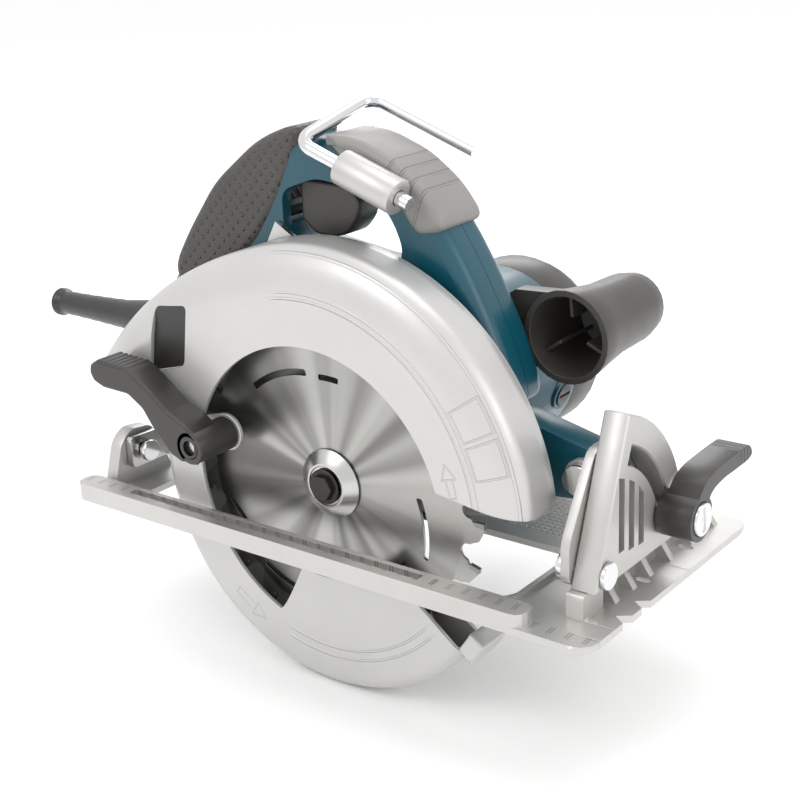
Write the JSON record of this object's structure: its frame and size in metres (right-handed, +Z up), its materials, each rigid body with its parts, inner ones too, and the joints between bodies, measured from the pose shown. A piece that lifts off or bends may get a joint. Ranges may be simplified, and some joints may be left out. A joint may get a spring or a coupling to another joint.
{
  "type": "circular saw",
  "caption": "Hand-held circular saw: toothed blade under fixed and swinging guards, tilting slotted shoe, loop handle, cross motor and side knob.",
  "frame": {"origin": "on the cut line: in the blade's middle plane, below the arbor, level with the shoe's underside", "axes": "+X the way the saw is pushed, +Y from the blade towards the motor, +Z up from the workpiece"},
  "size_m": [0.4148, 0.215, 0.2918],
  "materials": {
    "cast_alloy": "cast and machined, satin",
    "silver_paint": "satin silver paint on a casting",
    "bright_steel": "machined",
    "blade_steel": "brushed round the centre",
    "chrome": "polished",
    "black_steel": "blackened",
    "blue_plastic": "moulded, fine satin texture",
    "dark_plastic": "moulded, fine grain",
    "black_plastic": "moulded",
    "rubber": "dimpled overmould",
    "grey_plastic": "moulded, satin",
    "copper": "machined",
    "laminations": "stacked sheet"
  },
  "bodies": {
    "shoe": {"shoe": "cast_alloy", "bevel_quadrant": "cast_alloy", "front_bevel_pin": "chrome", "rear_bevel_pin": "chrome"},
    "tilt_frame": {"front_tilt_bracket": "cast_alloy", "depth_pivot_pin": "chrome", "depth_guide": "bright_steel", "bevel_clamp_bolt": "bright_steel"},
    "bevel_lever": {"bevel_lever": "black_plastic", "bevel_lever_cap_screw": "bright_steel"},
    "saw_body": {"upper_guard": "silver_paint", "guard_screw_1": "bright_steel", "guard_screw_2": "bright_steel", "guard_screw_3": "bright_steel", "guard_return_spring": "bright_steel", "arbor_ball_bearing": "bright_steel", "gear_housing": "blue_plastic", "bearing_plate": "cast_alloy", "armature_front_bearing": "bright_steel", "armature_rear_bearing": "bright_steel", "motor_housing": "blue_plastic", "brush_holder_front": "copper", "carbon_brush_front": "black_steel", "brush_cap_front": "black_plastic", "brush_holder_rear": "copper", "carbon_brush_rear": "black_steel", "brush_cap_rear": "black_plastic", "stator": "laminations", "motor_end_cap": "dark_plastic", "handle_right_shell": "blue_plastic", "handle_left_shell": "blue_plastic", "handle_screw_1": "bright_steel", "handle_screw_2": "bright_steel", "handle_screw_3": "bright_steel", "rubber_grip": "rubber", "front_grip_insert": "grey_plastic", "trigger_switch": "black_plastic", "cord_guard": "black_plastic", "hook_barrel": "cast_alloy", "auxiliary_handle": "dark_plastic", "auxiliary_handle_screw": "bright_steel", "depth_clamp_bolt": "bright_steel"},
    "depth_lever": {"depth_lever": "black_plastic"},
    "lower_guard": {"lower_guard": "silver_paint", "guard_lever": "black_plastic", "guard_lever_screw": "bright_steel"},
    "spindle": {"saw_blade": "blade_steel", "inner_flange": "bright_steel", "outer_flange": "bright_steel", "blade_bolt": "black_steel", "arbor_shaft": "bright_steel", "output_gear": "bright_steel"},
    "armature": {"armature_shaft": "bright_steel", "armature_core": "laminations", "commutator": "copper", "cooling_fan": "black_plastic"},
    "trigger": {"trigger": "dark_plastic"},
    "rafter_hook": {"rafter_hook": "chrome"},
    "spindle_lock": {"spindle_lock_button": "black_plastic"}
  },
  "joints": [
    {"name": "bevel_tilt", "type": "hinge", "parent": "shoe", "child": "tilt_frame", "pos_m": [0.139, 0, 0.022], "axis": [1, 0, 0], "range_deg": [0, 50]},
    {"name": "bevel_lever_turn", "type": "hinge", "parent": "tilt_frame", "child": "bevel_lever", "pos_m": [0.166, 0.05272, 0.03369], "axis": [1, 0, 0], "range_deg": [0, 60]},
    {"name": "depth_swing", "type": "hinge", "parent": "tilt_frame", "child": "saw_body", "pos_m": [0.129, 0.036, 0.054], "axis": [0, 1, 0], "range_deg": [0, 26]},
    {"name": "depth_lever_turn", "type": "hinge", "parent": "saw_body", "child": "depth_lever", "pos_m": [-0.06198, 0.055, 0.057], "axis": [0, 1, 0], "range_deg": [0, 40]},
    {"name": "lower_guard_swing", "type": "hinge", "parent": "saw_body", "child": "lower_guard", "pos_m": [0, 0, 0.032], "axis": [0, 1, 0], "range_deg": [0, 105], "stiffness_Nm_per_rad": 0.15, "springref_deg": -68.75, "deforming": ["guard_return_spring"]},
    {"name": "blade_spin", "type": "hinge", "parent": "saw_body", "child": "spindle", "pos_m": [0, 0, 0.032], "axis": [0, -1, 0], "continuous": true},
    {"name": "armature_spin", "type": "hinge", "parent": "saw_body", "child": "armature", "pos_m": [0.01005, 0.1, 0.06487], "axis": [0, -1, 0], "continuous": true},
    {"name": "trigger_pull", "type": "slide", "parent": "saw_body", "child": "trigger", "axis": [-0.9063, 0, 0.4226], "range_m": [0, 0.007], "stiffness_N_per_m": 600, "springref_m": -0.002},
    {"name": "rafter_hook_swivel", "type": "hinge", "parent": "saw_body", "child": "rafter_hook", "pos_m": [0.025, 0.0101, 0.1835], "axis": [0.9397, 0, -0.342], "range_deg": [0, 160]},
    {"name": "spindle_lock_press", "type": "slide", "parent": "saw_body", "child": "spindle_lock", "axis": [-1, 0, 0], "range_m": [0, 0.002], "stiffness_N_per_m": 500, "springref_m": -0.001}
  ],
  "couplings": [
    {"joint": "armature_spin", "follows": "blade_spin", "ratio": -4}
  ]
}
